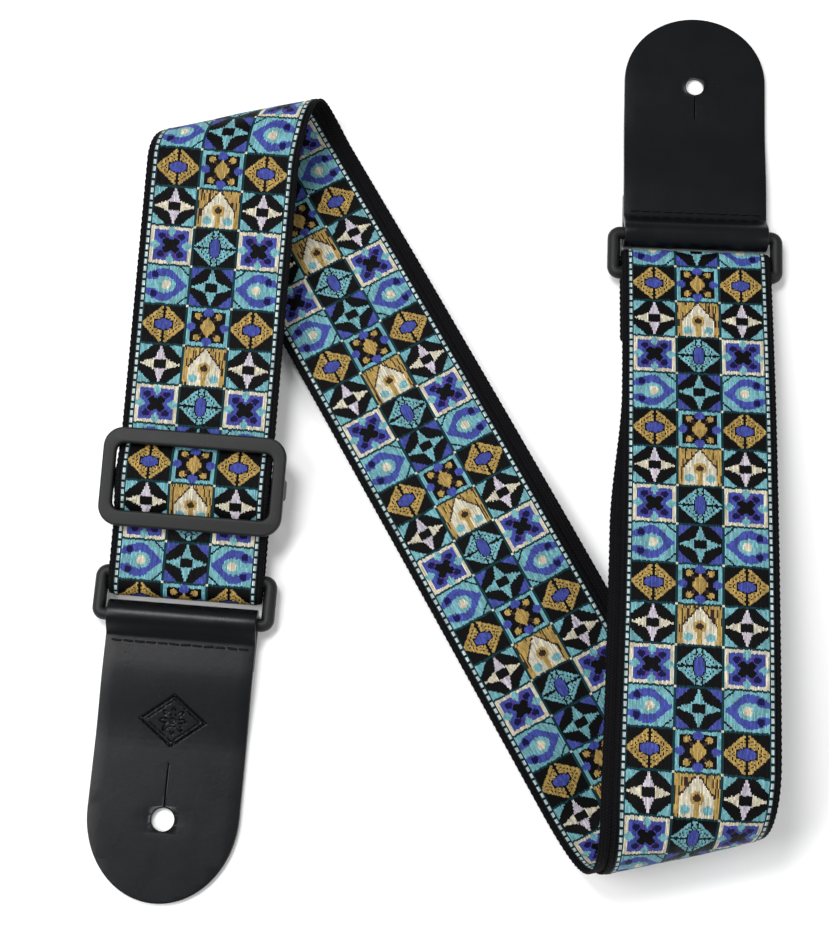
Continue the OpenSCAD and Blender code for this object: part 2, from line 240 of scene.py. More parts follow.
def web_section(n0, n1, half, t, cols=8):
    """Webbing's outline with a rounded selvedge that has a small rib for each weft pick."""
    mid, r = (n0 + n1) / 2, (n1 - n0) / 2
    edge = half - r + PICK_DEPTH * math.sin(2 * math.pi * t / PICK)
    top = [(x, n1) for x in [edge - (edge * 2) * i / cols for i in range(cols + 1)]]
    left = [(-edge - r * math.sin(a), mid + r * math.cos(a))
            for a in [math.pi * i / 6 for i in range(1, 6)]]
    right = [(edge + r * math.sin(a), mid - r * math.cos(a))
             for a in [math.pi * i / 6 for i in range(1, 6)]]
    return top + left + [(x, n0) for x, _ in reversed(top)] + right


DASH_AT, DASH_HALF = 22.6, 0.55
PILLOW_RISE, DASH_RISE = 0.07, 0.14


def ribbon_relief(s, y):
    """Height of the woven face at row y: motifs are low pillows and the edge dashes stand up."""
    x = s / COL
    inside = abs(s) < 1.49 * COL
    pillow = (0.5 + 0.5 * math.cos(2 * math.pi * (x - round(x)))) * (
        0.5 + 0.5 * math.cos(2 * math.pi * (y - round(y)))) if inside else 0.0
    d = y * DASHES - math.floor(y * DASHES) - 0.5
    dash = smooth((0.42 - abs(d)) / 0.14) * smooth((DASH_HALF - abs(abs(s) - DASH_AT)) / 0.3)
    return PILLOW_RISE * pillow ** 0.5 + DASH_RISE * dash


def ribbon_section(n0, n1, half, y, up=1):
    """Ribbon's outline. up is 1 if its woven face is the upper one and -1 if the lower one."""
    inner = linspace(-20.9, 20.9, 1.9)
    outer = [21.6, 22.0, 22.4, 22.8, 23.2, half - 0.12]
    cols = sorted(inner + outer + [-x for x in outer])
    face = [(s, (n1 if up > 0 else n0) + up * (ribbon_relief(s, y) - 0.06)) for s in cols]
    flat = [(s, n0 if up > 0 else n1) for s in cols]
    mid = (n0 + n1) / 2
    top, low = (face, flat) if up > 0 else (flat, face)
    return list(reversed(top)) + [(-half, mid)] + low + [(half, mid)]


def path_place(points):
    """place() for a band that follows a line of (Y, Z) points; t is the length along it."""
    marks = [0.0]
    for a, b in zip(points, points[1:]):
        marks.append(marks[-1] + math.dist(a, b))

    def at(t):
        t = max(0.0, min(marks[-1], t))
        i = max(k for k in range(len(points) - 1) if marks[k] <= t)
        f = (t - marks[i]) / (marks[i + 1] - marks[i])
        return Vector([points[i][c] * (1 - f) + points[i + 1][c] * f for c in (0, 1)])

    def place(t, s, n):
        d = (at(t + 0.25) - at(t - 0.25)).normalized()
        p = at(t) + Vector((-d.y, d.x)) * n
        return Vector((s, p.x, p.y))
    return place, marks[-1]


def arc(cy, cz, r, a0, a1, steps=16):
    return [(cy + r * math.cos(math.radians(a0 + (a1 - a0) * i / steps)),
             cz + r * math.sin(math.radians(a0 + (a1 - a0) * i / steps)))
            for i in range(steps + 1)]


def within(matrix, place):
    return lambda t, s, n: matrix @ place(t, s, n)


def tube(name, points, radius, material, sides=10, closed=False):
    """A round thread, bar or wire along points."""
    verts, faces = [], []
    count = len(points)
    for i, p in enumerate(points):
        a = points[i - 1] if closed or i else points[0]
        b = points[(i + 1) % count] if closed or i < count - 1 else points[-1]
        d = (Vector(b) - Vector(a)).normalized()
        side = d.cross(Vector((0, 0, 1)))
        side = side.normalized() if side.length > 0.05 else Vector((0, 1, 0))
        up = side.cross(d)
        for j in range(sides):
            q = 2 * math.pi * j / sides
            verts.append(Vector(p) + side * (radius * math.cos(q)) + up * (radius * math.sin(q)))
    for i in range(count if closed else count - 1):
        for j in range(sides):
            a, b = i * sides + j, i * sides + (j + 1) % sides
            c = ((i + 1) % count) * sides
            faces.append((a, b, c + (j + 1) % sides, c + j))
    if not closed:
        faces.append(tuple(reversed(range(sides))))
        faces.append(tuple((count - 1) * sides + j for j in range(sides)))
    return new_object(name, verts, faces, material, sharp=60)


def join(name, objs):
    with bpy.context.temp_override(active_object=objs[0], selected_editable_objects=objs,
                                   selected_objects=objs):
        bpy.ops.object.join()
    objs[0].name = name
    objs[0].data.name = name
    return objs[0]


def place_at(obj, matrix):
    """Moves a mesh made in a local frame, in millimetres, to its place in the row frame."""
    m = matrix.copy()
    m.translation = m.translation * MM
    obj.data.transform(m)
    return obj


def slab(name, outlines, z0, z1, bevel, material, steps=4):
    """A plate with rounded edges from closed outlines of (x, y). The first is the outside."""
    curve = bpy.data.curves.new(name, "CURVE")
    curve.dimensions, curve.fill_mode = "2D", "BOTH"
    for outline in outlines:
        spline = curve.splines.new("POLY")
        spline.points.add(len(outline) - 1)
        for point, (x, y) in zip(spline.points, outline):
            point.co = (x * MM, y * MM, 0, 1)
        spline.use_cyclic_u = True
    curve.extrude = ((z1 - z0) / 2 - bevel) * MM
    curve.bevel_depth = bevel * MM
    curve.bevel_resolution = steps
    curve.offset = -bevel * MM
    holder = bpy.data.objects.new(name, curve)
    bpy.context.collection.objects.link(holder)
    bpy.context.view_layer.update()
    mesh = bpy.data.meshes.new_from_object(holder)
    bpy.data.objects.remove(holder)
    mesh.transform(Matrix.Translation((0, 0, (z0 + z1) / 2 * MM)))
    obj = bpy.data.objects.new(name, mesh)
    bpy.context.collection.objects.link(obj)
    clean(obj)
    obj.data.materials.clear()
    obj.data.materials.append(material)
    return obj


def clean(obj, angle=50):
    bm = bmesh.new()
    bm.from_mesh(obj.data)
    bmesh.ops.remove_doubles(bm, verts=bm.verts, dist=1e-6)
    bmesh.ops.recalc_face_normals(bm, faces=bm.faces)
    bm.to_mesh(obj.data)
    bm.free()
    obj.data.polygons.foreach_set("use_smooth", [True] * len(obj.data.polygons))
    obj.data.set_sharp_from_angle(angle=math.radians(angle))


def rounded(w, l, r, cx=0.0, cy=0.0, steps=10):
    """Outline of a rounded rectangle."""
    out = []
    for qx, qy, a0 in ((1, 1, 0), (-1, 1, 90), (-1, -1, 180), (1, -1, 270)):
        for i in range(steps + 1):
            a = math.radians(a0 + 90 * i / steps)
            out.append((cx + qx * (w / 2 - r) + r * math.cos(a),
                        cy + qy * (l / 2 - r) + r * math.sin(a)))
    return out


# ---- Materials ----
def srgb(r, g, b):
    """Linear colour from 0 to 255 values."""
    def lin(c):
        c /= 255
        return c / 12.92 if c <= 0.04045 else ((c + 0.055) / 1.055) ** 2.4
    return (lin(r), lin(g), lin(b), 1.0)


class Num:
    """A value in a node tree that takes ordinary arithmetic."""

    def __init__(self, tree, socket):
        self.tree, self.socket = tree, socket

    def op(self, kind, *others):
        node = self.tree.nodes.new("ShaderNodeMath")
        node.operation = kind
        for slot, value in zip(node.inputs, (self,) + others):
            if isinstance(value, Num):
                self.tree.links.new(value.socket, slot)
            else:
                slot.default_value = value
        return Num(self.tree, node.outputs[0])

    def __add__(self, o): return self.op("ADD", o)
    def __sub__(self, o): return self.op("SUBTRACT", o)
    def __mul__(self, o): return self.op("MULTIPLY", o)
    def __truediv__(self, o): return self.op("DIVIDE", o)
    def __lt__(self, o): return self.op("LESS_THAN", o)
    def __gt__(self, o): return self.op("GREATER_THAN", o)
    def __and__(self, o): return self.op("MULTIPLY", o)
    def __or__(self, o): return self.op("MAXIMUM", o)
    def __abs__(self): return self.op("ABSOLUTE")
    def __invert__(self): return self * -1 + 1
    def floor(self): return self.op("FLOOR")
    def top(self, o): return self.op("MAXIMUM", o)
    def fract(self): return self.op("FRACT")
    def round(self): return (self + 0.5).floor()
    def near(self, o, r): return abs(self - o) < r
    def cos(self, turns): return (self * (2 * math.pi * turns)).op("COSINE")


class Shader:
    """A Principled material and the few helpers that its patterns use."""

    def __init__(self, name, **values):
        self.material = bpy.data.materials.new(name)
        self.material.use_nodes = True
        self.tree = self.material.node_tree
        self.bsdf = self.tree.nodes["Principled BSDF"]
        for key, value in values.items():
            self.bsdf.inputs[key.replace("_", " ")].default_value = value

    def coords(self, kind):
        if kind == "weave":
            node = self.tree.nodes.new("ShaderNodeUVMap")
            node.uv_map = "Weave"
            return node.outputs[0]
        return self.tree.nodes.new("ShaderNodeTexCoord").outputs["Object"]

    def split(self, vector):
        node = self.tree.nodes.new("ShaderNodeSeparateXYZ")
        self.tree.links.new(vector, node.inputs[0])
        return [Num(self.tree, out) for out in node.outputs]

    def vector(self, *parts):
        node = self.tree.nodes.new("ShaderNodeCombineXYZ")
        for slot, part in zip(node.inputs, parts):
            if isinstance(part, Num):
                self.tree.links.new(part.socket, slot)
            else:
                slot.default_value = part
        return node.outputs[0]

    def noise(self, vector, scale, detail=3.0, rough=0.5):
        node = self.tree.nodes.new("ShaderNodeTexNoise")
        node.inputs["Scale"].default_value = scale
        node.inputs["Detail"].default_value = detail
        node.inputs["Roughness"].default_value = rough
        self.tree.links.new(vector, node.inputs["Vector"])
        return Num(self.tree, node.outputs[0])

    def chance(self, *parts):
        node = self.tree.nodes.new("ShaderNodeTexWhiteNoise")
        self.tree.links.new(self.vector(*parts), node.inputs["Vector"])
        return Num(self.tree, node.outputs["Value"])

    def cell_edges(self, vector, scale):
        node = self.tree.nodes.new("ShaderNodeTexVoronoi")
        node.feature = "DISTANCE_TO_EDGE"
        node.inputs["Scale"].default_value = scale
        self.tree.links.new(vector, node.inputs["Vector"])
        return Num(self.tree, node.outputs["Distance"])

    def colour(self, rgba):
        node = self.tree.nodes.new("ShaderNodeRGB")
        node.outputs[0].default_value = rgba
        return node.outputs[0]

    def paint(self, under, mask, over):
        """over laid on under where mask is 1."""
        node = self.tree.nodes.new("ShaderNodeMix")
        node.data_type = "RGBA"
        self.tree.links.new(mask.socket, node.inputs[0])
        self.tree.links.new(under, node.inputs[6])
        if isinstance(over, tuple):
            node.inputs[7].default_value = over
        else:
            self.tree.links.new(over, node.inputs[7])
        return node.outputs[2]

    def tint(self, colour, value):
        """colour times value."""
        node = self.tree.nodes.new("ShaderNodeVectorMath")
        node.operation = "SCALE"
        self.tree.links.new(colour, node.inputs[0])
        self.tree.links.new(value.socket, node.inputs["Scale"])
        return node.outputs[0]

    def set(self, name, value):
        self.tree.links.new(value.socket if isinstance(value, Num) else value,
                            self.bsdf.inputs[name])

    def bump(self, height, depth, strength=1.0):
        node = self.tree.nodes.new("ShaderNodeBump")
        node.inputs["Strength"].default_value = strength
        node.inputs["Distance"].default_value = depth * MM
        self.tree.links.new(height.socket, node.inputs["Height"])
        self.tree.links.new(node.outputs[0], self.bsdf.inputs["Normal"])


BLACK, TURQUOISE, BLUE = srgb(7, 7, 10), srgb(136, 202, 212), srgb(80, 92, 184)
CREAM, LILAC, GOLD = srgb(246, 238, 212), srgb(236, 226, 240), srgb(206, 172, 98)
NAVY, TEAL, BROWN, VIOLET = srgb(26, 22, 84), srgb(18, 66, 74), srgb(70, 48, 40), srgb(96, 70, 160)


def ribbon_material():
    """Jacquard: three columns of motifs in four rows. U is in columns and V in rows."""
    m = Shader("jacquard", Specular_IOR_Level=0.07)
    u, v, _ = m.split(m.coords("weave"))
    threads = 36.0  # to a cell, both ways
    ui = (u * threads).floor()
    un = (ui + 0.5) / threads
    wobble = m.chance(ui, (v * 9.0).floor(), 0.3) - 0.5
    vn = (((v + wobble * 0.034) * threads).floor() + 0.5) / threads
    col, row = un.round(), vn.round()
    q, p = un - col, vn - row
    a, b = abs(q), abs(p)
    side = abs(un) > 0.5
    out = q * col
    kind = row.op("FLOORED_MODULO", 4.0)
    row_c, row_b, row_a, row_d = [kind.near(float(i), 0.4) for i in range(4)]
    cell = (abs(un) < 1.48) & (a.top(b) < 0.465)
    frame_line = a.top(b) > 0.39
    whole = a < 0.6

    def disc(x, y, r, ax=None, by=None):
        dx, dy = (a if ax is None else ax) - x, (b if by is None else by) - y
        return (dx * dx + dy * dy) < r * r

    def oval(rx, ry, x0=0.0, xs=q):
        dx, dy = (xs - x0) / rx, p / ry
        return (dx * dx + dy * dy) < 1.0

    def diamond(rx, ry, x0=0.0, y0=0.0):
        return (abs(a - x0) / rx + abs(b - y0) / ry) < 1.0

    colour = m.colour(BLACK)

    def motif(where, layers):
        nonlocal colour
        here = where & cell
        for mask, ink in layers:
            colour = m.paint(colour, here & mask, ink)

    rings = (a / 0.52 + b / 0.52).top(b / 0.45).top(a / 0.475)
    steps = a + b
    specks = ((steps.near(0.395, 0.024) & ((a - b) * 8.0).fract().near(0.5, 0.26))
              | (steps.near(0.3, 0.022) & ((a - b) * 8.0 + 0.5).fract().near(0.5, 0.24)))
    corner = ((a * -1 + 0.465) + (b * -1 + 0.465)) < 0.27
    point_x = (a > 0.13) & (b < (a * -1 + 0.475) * 0.4)
    point_y = (b > 0.12) & (a < (b * -1 + 0.475) * 0.36)
    arch = (a < 0.37) & (a < (p * -1 + 0.455) * 0.74)
    arch_line = a.near((p * -1 + 0.455) * 0.74 + 0.02, 0.022) & (p > -0.02)
    streak = m.chance(ui, (v * 5.0).floor(), 2.0)

    motif(row_a & side, [
        (rings < 1.0, GOLD), (specks, BLACK), ((a < 0.03) & (b > 0.14), BLACK),
        (oval(0.235, 0.16), BLACK), (oval(0.205, 0.13), BLUE)])
    motif(row_a & ~side, [
        (frame_line, TURQUOISE), (disc(0.23, 0.27, 0.08), GOLD),
        (a.near(b * 0.85, 0.035) & (a < 0.2), BROWN), (diamond(0.19, 0.26), GOLD),
        (disc(0.37, 0.0, 0.1) | disc(0.0, 0.37, 0.11), BLUE)])
    motif(row_b & side, [(corner, TURQUOISE), (point_y, LILAC), (point_x, CREAM)])
    motif(row_b & ~side, [
        (whole, GOLD), (streak > 0.8, BROWN), (arch, CREAM), (arch_line, BROWN),
        ((a < 0.06) & (p < -0.1), GOLD), (disc(0.0, 0.04, 0.15, by=p * -1), GOLD),
        (disc(0.0, 0.04, 0.085, by=p * -1), BROWN),
        (disc(0.24, 0.3, 0.13, by=p * -1), CREAM),
        (disc(0.24, 0.3, 0.105, by=p * -1), TURQUOISE)])
    motif(row_c & side, [
        (frame_line, CREAM), (a.top(b) < 0.385, BLUE), (disc(0.12, 0.25, 0.06), VIOLET),
        (disc(0.22, 0.23, 0.08), NAVY), (a.top(b) < 0.13, BLACK), (disc(0.1, 0.1, 0.09), BLACK),
        (diamond(0.1, 0.16, 0.0, 0.36) | diamond(0.14, 0.12, 0.37, 0.0), TURQUOISE)])
    motif(row_c & ~side, [
        (rings < 1.0, TURQUOISE), (specks, BLACK), ((b < 0.022) & (a > 0.15), BLACK),
        (a.near(0.075, 0.018) & (b > 0.26), BLACK), (oval(0.15, 0.265), BLACK),
        (oval(0.125, 0.24), BLUE)])
    drop = (b < (out + 0.475) * 0.95) & oval(0.5, 0.41, 0.06, out)
    motif(row_d & side, [
        (whole, TURQUOISE), (drop, BLUE), (oval(0.25, 0.21, 0.06, out), TURQUOISE),
        ((b < 0.1) & (out > 0.2), TURQUOISE), (disc(0.29, 0.24, 0.085, ax=out), NAVY),
        (oval(0.1, 0.12, 0.02, out), CREAM),
        ((b - out).near(0.74, 0.025), BLACK)])
    motif(row_d & ~side, [(corner, BLUE), (point_y | point_x, TURQUOISE)])

    # Fine grid between the cells, and its white knots
    inner = abs(un) < 1.5
    colour = m.paint(colour, inner & (a.top(b) > 0.484), TEAL)
    knot = abs(u).near(0.5, 0.026) & abs(v - v.round()).near(0.5, 0.028)
    colour = m.paint(colour, knot, CREAM)

    # Dashed line along each edge
    line = abs(u) - DASH_AT / COL
    beat = abs((v * DASHES).fract() - 0.5)
    colour = m.paint(colour, (abs(line) < 0.05) & (beat < 0.44), TEAL)
    dash = (abs(line) < 0.032) & (beat < 0.33)
    colour = m.paint(colour, dash, srgb(226, 240, 240))

    # Satin threads: each has its own random tone and a rounded back, which is also painted into
    # the colour as a highlight along each crown and as shade in the gaps between threads
    lit = m.chance(ui, (v * 3.0).floor(), 5.0)
    thread_relief_and_shading = (u * threads).cos(1.0) * -0.5 + 0.5
    pick = (v * (threads * 2)).cos(1.0) * 0.5 + 0.5
    stroke = m.chance(ui, (v * 11.0 + lit * 3.0).floor(), 8.0)
    # Painted highlight along each thread's crown and painted shade in the gaps between threads,
    # taken from the threads' rounded profile
    colour = m.tint(colour, (lit * 0.38 + 0.52) * (thread_relief_and_shading * 0.66 + 0.36) * (stroke * 0.4 + 0.78))
    fluff = m.noise(m.coords("object"), 1400.0, 2.0)
    m.set("Base Color", m.tint(colour, fluff * 0.35 + 0.82))
    m.set("Roughness", lit * 0.18 + fluff * 0.2 + 0.36)
    m.bump(thread_relief_and_shading * 0.7 + pick * 0.12 + lit * 0.25 + dash * 0.6, 0.10, 0.75)
    return m.material


def webbing_material():
    """Black webbing: ribs along it and weft picks across."""
    m = Shader("black_webbing", Specular_IOR_Level=0.08)
    u, v, _ = m.split(m.coords("weave"))
    s, t = u * COL, v * ROW
    rib = (s * 0.9).cos(1.0) * 0.5 + 0.5
    ri = (s * 0.9).round()
    pick = ((t * 0.95) + ri * 0.5).cos(1.0) * 0.5 + 0.5
    fluff = m.noise(m.coords("object"), 1100.0, 4.0, 0.65)
    shade = m.chance(ri, (t * 0.95).floor(), 1.0)
    # Painted highlight and shade: the colour is lighter on the crowns where ribs and picks rise
    # and darker in the dips between them, with some random fluff tone mixed in
    colour = m.paint(m.colour(srgb(3, 3, 4)), (rib * pick) * 0.8 + fluff * 0.2, srgb(21, 21, 24))
    m.set("Base Color", m.tint(colour, shade * 0.25 + 0.85))
    m.set("Roughness", fluff * 0.3 + 0.66)
    m.bump(rib * pick + fluff * 0.35, 0.28, 0.9)
    return m.material


def leather_material():
    """Black smooth leather: fine pebbled grain, faint creases and a soft sheen."""
    m = Shader("black_leather", Specular_IOR_Level=0.2)
    place = m.coords("object")
    warp = m.noise(place, 90.0, 4.0, 0.6)
    grain = (m.cell_edges(place, 1500.0) * 7).op("MINIMUM", 1.0)
    pores = m.noise(place, 2600.0, 3.0, 0.6)
    crease = abs(m.noise(place, 160.0, 5.0, 0.7) - 0.5)
    crease = (crease * -9 + 1).top(0.0)
    dust = m.noise(place, 380.0, 5.0, 0.75)
    colour = m.paint(m.colour(srgb(4, 5, 8)), warp * 0.9, srgb(12, 14, 18))
    colour = m.paint(colour, (dust > 0.68) * 0.3, srgb(34, 35, 38))
    m.set("Base Color", m.tint(colour, grain * 0.22 + 0.8))
    m.set("Roughness", warp * 0.1 + pores * 0.08 + 0.21)
    m.bump(grain * 0.6 + pores * 0.4 - crease * 0.8, 0.016, 0.7)
    return m.material


def plastic_material():
    """Charcoal moulded plastic with a fine spark-eroded texture."""
    m = Shader("charcoal_plastic", Specular_IOR_Level=0.3)
    place = m.coords("object")
    fine = m.noise(place, 2400.0, 4.0, 0.7)
    broad = m.noise(place, 120.0, 4.0, 0.6)
    scuff = (m.noise(place, 700.0, 6.0, 0.8) > 0.64) * 0.4
    colour = m.paint(m.colour(srgb(8, 9, 10)), broad, srgb(20, 21, 23))
    m.set("Base Color", m.paint(colour, scuff, srgb(48, 49, 52)))
    m.set("Roughness", fine * 0.25 + broad * 0.12 + 0.36)
    m.bump(fine + broad * 0.5, 0.03, 0.6)
    return m.material


def thread_material():
    """Black waxed thread with a slanting twist."""
    m = Shader("black_thread", Specular_IOR_Level=0.15)
    x, y, z = m.split(m.coords("object"))
    twist = ((x * 1600) + (y * 900) + (z * 600)).cos(1.0) * 0.5 + 0.5
    fluff = m.noise(m.coords("object"), 3000.0, 3.0)
    # Painted highlight and shade: the colour is lighter on the crowns of the twist and darker in
    # its grooves, with some random fluff tone mixed in
    m.set("Base Color", m.paint(m.colour(srgb(2, 2, 3)), twist * 0.6 + fluff * 0.4,
                                srgb(20, 20, 23)))
    m.set("Roughness", fluff * 0.3 + 0.4)
    m.bump(twist + fluff * 0.3, 0.12, 0.8)
    return m.material


def paper_material():
    """Plain pale floor."""
    m = Shader("pale_floor", Roughness=0.9)
    tone = m.noise(m.coords("object"), 6.0, 4.0)
    m.set("Base Color", m.paint(m.colour((0.93, 0.93, 0.93, 1)), tone, (0.96, 0.96, 0.96, 1)))
    return m.material


jacquard, black_webbing = ribbon_material(), webbing_material()
black_leather, charcoal = leather_material(), plastic_material()
black_thread = thread_material()


def finish_piece(obj, slot, body=None, replaces=()):
    if body:
        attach(obj, body)
    if replaces:
        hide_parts(*replaces)
    return obj


# ---- The strap: front and back webbing, each with its ribbon ----
SPLIT = 140.0  # the adjustable run ends here
TAKEN_UP, BULGE_UP = 15.0, 7.4  # strap used up below the slider and in its window
FACE_GAP = 0.02
BLEND_FROM, BLEND_TO = middle(131.0) * MM, middle(0.0) * MM


def front_row(t):
    """Row of the weave at t. The slider takes up a little of the strap in its bulge."""
    return (t - TAKEN_UP * (1 - smooth((t - 18) / 26)) - FRONT_PHASE) / ROW


def back_row(t):
    return -(t - BACK_PHASE) / BACK_ROW


def web_row(t):
    return t / ROW


def strap_piece(name, t0, t1, front, ribbon):
    shift, row = (front_shift, front_row) if front else (back_shift, back_row)
    sign = 1 if front else -1
    if ribbon:
        low, high = sorted((sign * (WEB_T + FACE_GAP), sign * (WEB_T + RIB_T)))
        return swept(name, on_strap, linspace(t0, t1, 0.62),
                     lambda t: ribbon_section(low, high, RIB_W / 2, row(t), sign),
                     jacquard, shift, row)
    low, high = sorted((sign * FACE_GAP, sign * WEB_T))
    return swept(name, on_strap, linspace(t0, t1, 0.7),
                 lambda t: web_section(low, high, WEB_W / 2, t), black_webbing, shift, web_row)


STRAP = (("front_webbing", True, False), ("front_ribbon", True, True),
         ("back_webbing", False, False), ("back_ribbon", False, True))
for node, front, ribbon in STRAP:
    slot, width = ("ribbon", RIB_W) if ribbon else ("webbing", WEB_W)
    near = strap_piece(node + "_adjuster", 0.0, SPLIT, front, ribbon)
    far = strap_piece(node + "_zigzag", SPLIT, STRAP_LEN, front, ribbon)
    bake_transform(near)
    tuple(BLEND_FROM)
    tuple(BLEND_TO)
    finish_piece(near, slot, replaces=("adjuster_front_run",) if node == "front_webbing" else ())
    finish_piece(far, slot, "strap", (node,))


def loop_pieces(name, matrix, line, t_at, body, nodes):
    """The four layers as one thick band round a bar, with the patterned ribbon outermost."""
    place, length = path_place(line)
    there = within(matrix, place)
    core = swept(name + "_webbing", there, linspace(0, length, 0.6),
                 lambda t: web_section(-STRAP_T + RIB_T + 0.05, 0.0, WEB_W / 2, t),
                 black_webbing, uv_t=web_row)
    finish_piece(core, "webbing", body, nodes)
    skin = swept(name + "_ribbon", there, linspace(0.0, length, 0.6),
                 lambda t: ribbon_section(0.01, RIB_T - 0.02, RIB_W / 2, front_row(t_at(t)), 1),
                 jacquard, uv_t=lambda t: front_row(t_at(t)))
    finish_piece(skin, "ribbon", body)


LOOP_OUT = WEB_LOOP_R + STRAP_T - RIB_T
HEM = 24.0
LOOP_BACK, LOWER_SLACK, UPPER_SLACK = 4.1, 2.9, 3.7
loop_pieces("upper_loop", UPPER_LOOP,
            [(0, BAR_N + LOOP_OUT)] + arc(UPPER_SLACK, BAR_N, LOOP_OUT, 90, -90, 24)
            + [(-HEM, BAR_N - LOOP_OUT)],
            lambda t: STRAP_LEN + t, "strap", ("upper_strap_loop",))
loop_pieces("lower_loop", left_run(0.0),
            [(LOOP_BACK, BAR_N - LOOP_OUT)] + arc(-LOWER_SLACK, BAR_N, LOOP_OUT, 270, 90, 24)
            + [(0, BAR_N + LOOP_OUT)],
            lambda t: t - (LOOP_BACK + 2 * LOWER_SLACK + math.pi * LOOP_OUT),
            "adjuster_fold", ("adjuster_ring_loop",))
TAIL_N, TAIL_HALF_T = -6.1, 0.38
tail_place, tail_l = path_place([(1.8, TAIL_N), (27.0, TAIL_N)])
finish_piece(swept("lower_loop_tail", within(left_run(0.0), tail_place), linspace(0, tail_l, 0.7),
                   lambda t: web_section(-TAIL_HALF_T, TAIL_HALF_T, WEB_W / 2, t),
                   black_webbing, uv_t=web_row), "webbing", "adjuster_fold")

# The raised part in the slider's window
SLIDE_FRAME = left_run(SLIDER_AT)
HALF, HUMP_FROM, HUMP_RISE, HUMP_STEPS = 11.2, 1.62, 2.95, 24
hump_line = [(HALF * i / HUMP_STEPS,
              HUMP_FROM + HUMP_RISE * math.cos(math.pi / 2 * i / HUMP_STEPS) ** 0.8)
             for i in range(-HUMP_STEPS, HUMP_STEPS + 1)]
hump_place, hump_l = path_place(hump_line)


def hump_row(t):
    """Row of the weave in the window, drawn in a little by the bulge."""
    return (SLIDER_AT - BULGE_UP + HALF * (2 * t / hump_l - 1) * 1.08 - FRONT_PHASE) / ROW


def hump_under(t):
    """The webbing thins out where it dives under the slider's bars."""
    return -0.08 - (WEB_T - 0.1) * smooth(min(t, hump_l - t) / 3.0)


hump_there = within(SLIDE_FRAME, hump_place)
finish_piece(swept("slider_bulge_webbing", hump_there, linspace(0, hump_l, 0.5),
                   lambda t: web_section(hump_under(t), -0.01, WEB_W / 2, t), black_webbing,
                   uv_t=web_row), "webbing", "slider", ("strap_over_slider_bar",))
finish_piece(swept("slider_bulge_ribbon", hump_there, linspace(0, hump_l, 0.5),
                   lambda t: ribbon_section(0.0, RIB_T - 0.03, RIB_W / 2, hump_row(t), 1),
                   jacquard, uv_t=hump_row), "ribbon", "slider")

# The bare end round the slider's centre bar
CENTRE_N, END_R, END_HALF_T = -4.85, 2.5, 0.8
end_place, end_l = path_place([(-26.5, CENTRE_N - END_R), (-0.1, CENTRE_N - END_R)]
                              + arc(0, CENTRE_N, END_R, -90, 90) + [(-9.0, CENTRE_N + END_R)])
finish_piece(swept("sewn_end", within(SLIDE_FRAME, end_place), linspace(0, end_l, 0.6),
                   lambda t: web_section(-END_HALF_T, END_HALF_T, WEB_W / 2, t), black_webbing,
                   uv_t=web_row), "webbing", "slider", ("sewn_return_end",))


# ---- Slider ----
def slider_piece():
    w, l, bar, thick, rod_r = 60.3, 32.6, 5.2, 3.8, 1.6
    inner_w = WEB_W + 1.2
    plane = STRAP_T / 2 + 0.3
    parts = [slab("slider_body", [rounded(w, l, 6.6), rounded(inner_w, l - 2 * bar, 3.0)],
                  plane, plane + thick, 0.8, charcoal, 5)]
    cheek = (w - inner_w) / 2
    for x in (-1, 1):
        parts.append(slab("cheek", [rounded(cheek, 7.2, 1.2, x * (w - cheek) / 2, 0)],
                          CENTRE_N - rod_r, plane + 0.8, 0.5, charcoal, 3))
    parts.append(tube("bar", [(x, 0, CENTRE_N) for x in (-28.5, -14, 0, 14, 28.5)], rod_r,
                      charcoal, 24))
    return place_at(join("slider_body", parts), SLIDE_FRAME)


finish_piece(slider_piece(), "plastic", "slider", ("slider",))


# ---- Rings ----
RING_W = 60.2 - 4.3  # between the middles of the side bars


def ring_piece(name, matrix):
    line = rounded(RING_W, BAR_GAP, 2.0, 0, -BAR_GAP / 2, 8)
    dense = []
    for a, b in zip(line, line[1:] + line[:1]):
        k = max(1, int(math.dist(a, b) / 4))
        dense += [(a[0] + (b[0] - a[0]) * i / k, a[1] + (b[1] - a[1]) * i / k, 0)
                  for i in range(k)]
    obj = tube(name, dense, BAR_D / 2 - 0.02, charcoal, 28, closed=True)
    for vert in obj.data.vertices:  # the mould's parting line, a fine ridge all round
        z = vert.co.z / MM
        if abs(z) < 0.1:
            out = Vector((vert.co.x, vert.co.y + BAR_GAP / 2 * MM, 0))
            vert.co += out.normalized() * 0.04 * MM
    return place_at(obj, matrix)


finish_piece(ring_piece("lower_ring_body", LOWER_BAR), "plastic", "lower_ring", ("lower_ring",))
finish_piece(ring_piece("upper_ring_body", UPPER_BAR), "plastic", "upper_ring", ("upper_ring",))


# ---- Leather tabs ----
LEATHER_R = BAR_D / 2 + LOOP_GAP + 0.1
LOW_MID = -LEATHER_R - LEATHER_T / 2
TOP_MID, MID_R = LOW_MID + LEATHER_T + 0.05, LEATHER_R + LEATHER_T / 2
FOLD_BACK, SEWN_AT, TAB_W, DROP = 15.0, 8.4, 49.4, 27
SLIT_HALF = 0.06


def s_curve(y0, z0, y1, z1):
    return [(y0 + (y1 - y0) * i / 12, z0 + (z1 - z0) * smooth(i / 12)) for i in range(13)]


def emboss(x, y):
    """Depth from 0 to 1 of a lozenge with an eight-petalled rosette, centred on 0, 0."""
    edge = abs(x) / 11.5 + abs(y) / 9.0
    groove = smooth((0.055 - abs(edge - 0.93)) / 0.04) + smooth((0.03 - abs(edge - 0.76)) / 0.03)
    r, a = math.hypot(x, y), math.atan2(y, x)
    petal = smooth((0.34 - abs(r - 3.2 - 1.15 * math.cos(8 * a))) / 0.25)
    return min(1.0, groove + petal + smooth((1.15 - r) / 0.4))


